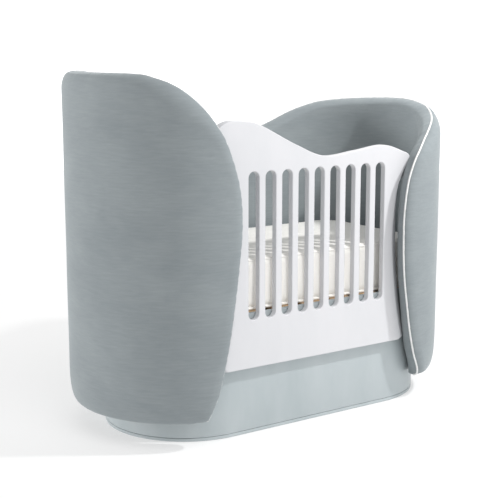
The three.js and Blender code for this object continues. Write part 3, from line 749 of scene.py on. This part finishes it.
beech = wood_finish("beech", (0.50, 0.33, 0.19), (0.66, 0.48, 0.31), (1.0, 1.0, 0.12), 22.0, 0.55)
slat_beech = wood_finish("beech_slats", (0.50, 0.33, 0.19), (0.66, 0.48, 0.31), (1.0, 0.10, 1.0), 26.0, 0.55)
plywood = wood_finish("plywood", (0.48, 0.34, 0.20), (0.62, 0.47, 0.30), (0.35, 0.35, 0.12), 12.0, 0.75)
lining = plain_finish("lining", (0.012, 0.013, 0.014), (0.028, 0.029, 0.031), 700.0, 0.92, 0.0005)
steel = plain_finish("steel", (0.42, 0.43, 0.44), (0.62, 0.63, 0.64), 160.0, 0.34, 0.0001, 1.0)
nylon = plain_finish("plastic", (0.012, 0.013, 0.015), (0.030, 0.031, 0.034), 240.0, 0.5, 0.0003)
print("frame finishes:", beech.name, plywood.name, lining.name, steel.name, nylon.name)

# %% [markdown]
# ## Put everything on its body
# A piece that stands for measured nodes hides them and moves with their body. Only the mattress moves: it lifts out.

# %% bodies, slots and finishes
def dress(piece, finish, body, nodes=()):
    piece.data.materials.clear()
    piece.data.materials.append(finish)
    if nodes:
        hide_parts(*nodes)
    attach(piece, body)


dress(head_cover, velvet, "bed", ("head_outer_pad", "head_inner_pad", "head_rim_pad"))
dress(foot_cover, velvet, "bed", ("foot_outer_pad", "foot_inner_pad", "foot_rim_pad"))
dress(head_piping, piping_cloth, "bed", ("head_piping",))
dress(foot_piping, piping_cloth, "bed", ("foot_piping",))
dress(panel, lacquer, "bed", ("front_panel",))
dress(plinth, paint, "bed", ("plinth_skin",))
dress(strip, paint, "bed", ("plinth_strip",))
dress(mattress, linen, "mattress", ("mattress",))
dress(top_welt, linen, "mattress")
dress(low_welt, linen, "mattress")
dressed = [head_cover, foot_cover, head_piping, foot_piping, panel, plinth, strip, mattress, top_welt, low_welt]
print("dressed pieces:", len(dressed))

# %% finishes on the measured nodes
def node_finish(name):
    if name.startswith("mattress_slat"):
        return slat_beech, "beech"
    if "cleat" in name:
        return lacquer, "lacquer"
    if "dust_cover" in name:
        return lining, "lining"
    if "bolt" in name:
        return steel, "steel"
    if "glide" in name:
        return nylon, "plastic"
    if any(word in name for word in ("board", "former", "rib", "plinth_floor")):
        return plywood, "plywood"
    return beech, "beech"


shown = [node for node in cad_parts.values() if not node.hide_render]
for node in shown:
    material, slot_name = node_finish(node.name)
    node.data.materials.clear()
    node.data.materials.append(material)
print("measured nodes shown:", len(shown))

# %% [markdown]
# ## Studio
# A pale floor and a pale wall behind it, a soft sky all round, one crisp lamp close on the right and a
# low soft one behind on the left. The first gives the diagonal shadows inside the walls and under the
# panel, and the second turns the tall wall's far side light. Two faint ones, overhead and in front, light
# the bedding and the rolls along the rims.

# %% floor and wall
def studio_surface(name, corners, colour, glow):
    piece = make_piece(name, corners, [(0, 1, 2, 3)])
    material = bpy.data.materials.new(name)
    material.use_nodes = True
    shader = material.node_tree.nodes["Principled BSDF"]
    shader.inputs["Base Color"].default_value = (colour, colour, colour, 1)
    shader.inputs["Roughness"].default_value = 0.9
    shader.inputs["Specular IOR Level"].default_value = 0.1
    shader.inputs["Emission Color"].default_value = (1, 1, 1, 1)
    shader.inputs["Emission Strength"].default_value = glow
    piece.data.materials.append(material)
    return piece


HEADING = math.radians(34.66)
ahead = np.array([math.sin(HEADING), math.cos(HEADING), 0.0])
across = np.array([math.cos(HEADING), -math.sin(HEADING), 0.0])
upward = np.array([0.0, 0.0, 1.0])
floor = studio_surface("floor", [(-30, -30, 0), (30, -30, 0), (30, 30, 0), (-30, 30, 0)], 0.5, 0.50)
wall_corners = [ahead * 9 + across * s + upward * h for s, h in ((-7, 0), (7, 0), (7, 7), (-7, 7))]
backdrop = studio_surface("backdrop", wall_corners, 0.5, 0.95)
print("floor and backdrop ready")

# %% lights
scene = bpy.context.scene
world = bpy.data.worlds.new("sky") if scene.world is None else scene.world
scene.world = world
world.use_nodes = True
sky = world.node_tree.nodes.get("Background") or world.node_tree.nodes.new("ShaderNodeBackground")
sky.inputs["Color"].default_value = (1.0, 1.0, 1.0, 1)
sky.inputs["Strength"].default_value = 0.50


def aim(holder, place):
    holder.location = place
    holder.rotation_mode = "QUATERNION"
    holder.rotation_quaternion = Vector(place).to_track_quat("Z", "Y")
    scene.collection.objects.link(holder)
    return holder


key = bpy.data.lights.new("key_lamp", "POINT")
key.energy, key.shadow_soft_size = 285, 0.10
key_lamp = aim(bpy.data.objects.new("key_lamp", key), (1.60, -1.76, 3.00))
rim = bpy.data.lights.new("edge_lamp", "SUN")
rim.energy, rim.angle = 2.2, math.radians(24)
edge_lamp = aim(bpy.data.objects.new("edge_lamp", rim), (-4.2, 3.6, 0.6))
top = bpy.data.lights.new("top_lamp", "SUN")
top.energy, top.angle = 0.55, math.radians(40)
top_lamp = aim(bpy.data.objects.new("top_lamp", top), (-0.6, -2.4, 4.0))
front = bpy.data.lights.new("front_lamp", "SUN")
front.energy, front.angle = 0.45, math.radians(50)
front_lamp = aim(bpy.data.objects.new("front_lamp", front), (0.2, -3.0, 1.0))
print("lamps:", key_lamp.name, edge_lamp.name, top_lamp.name, front_lamp.name)

# %% camera
lens = bpy.data.cameras.new("camera")
lens.sensor_width, lens.lens = 36, 79.9
camera = bpy.data.objects.new("camera", lens)
camera.location = (-2.6024, -3.6528, 1.4367)
camera.rotation_euler = (math.radians(90 - 10.14), 0, -HEADING)
scene.collection.objects.link(camera)
scene.camera = camera
scene.view_settings.view_transform = "Standard"
scene.view_settings.look = "None"
print("camera lens:", lens.lens)

# %% [markdown]
# ## Bring the scene up to date
# The dressed bed has to stay in the measured bed's box. This cell only brings the scene up to date.

# %% bring the scene up to date
bpy.context.view_layer.update()
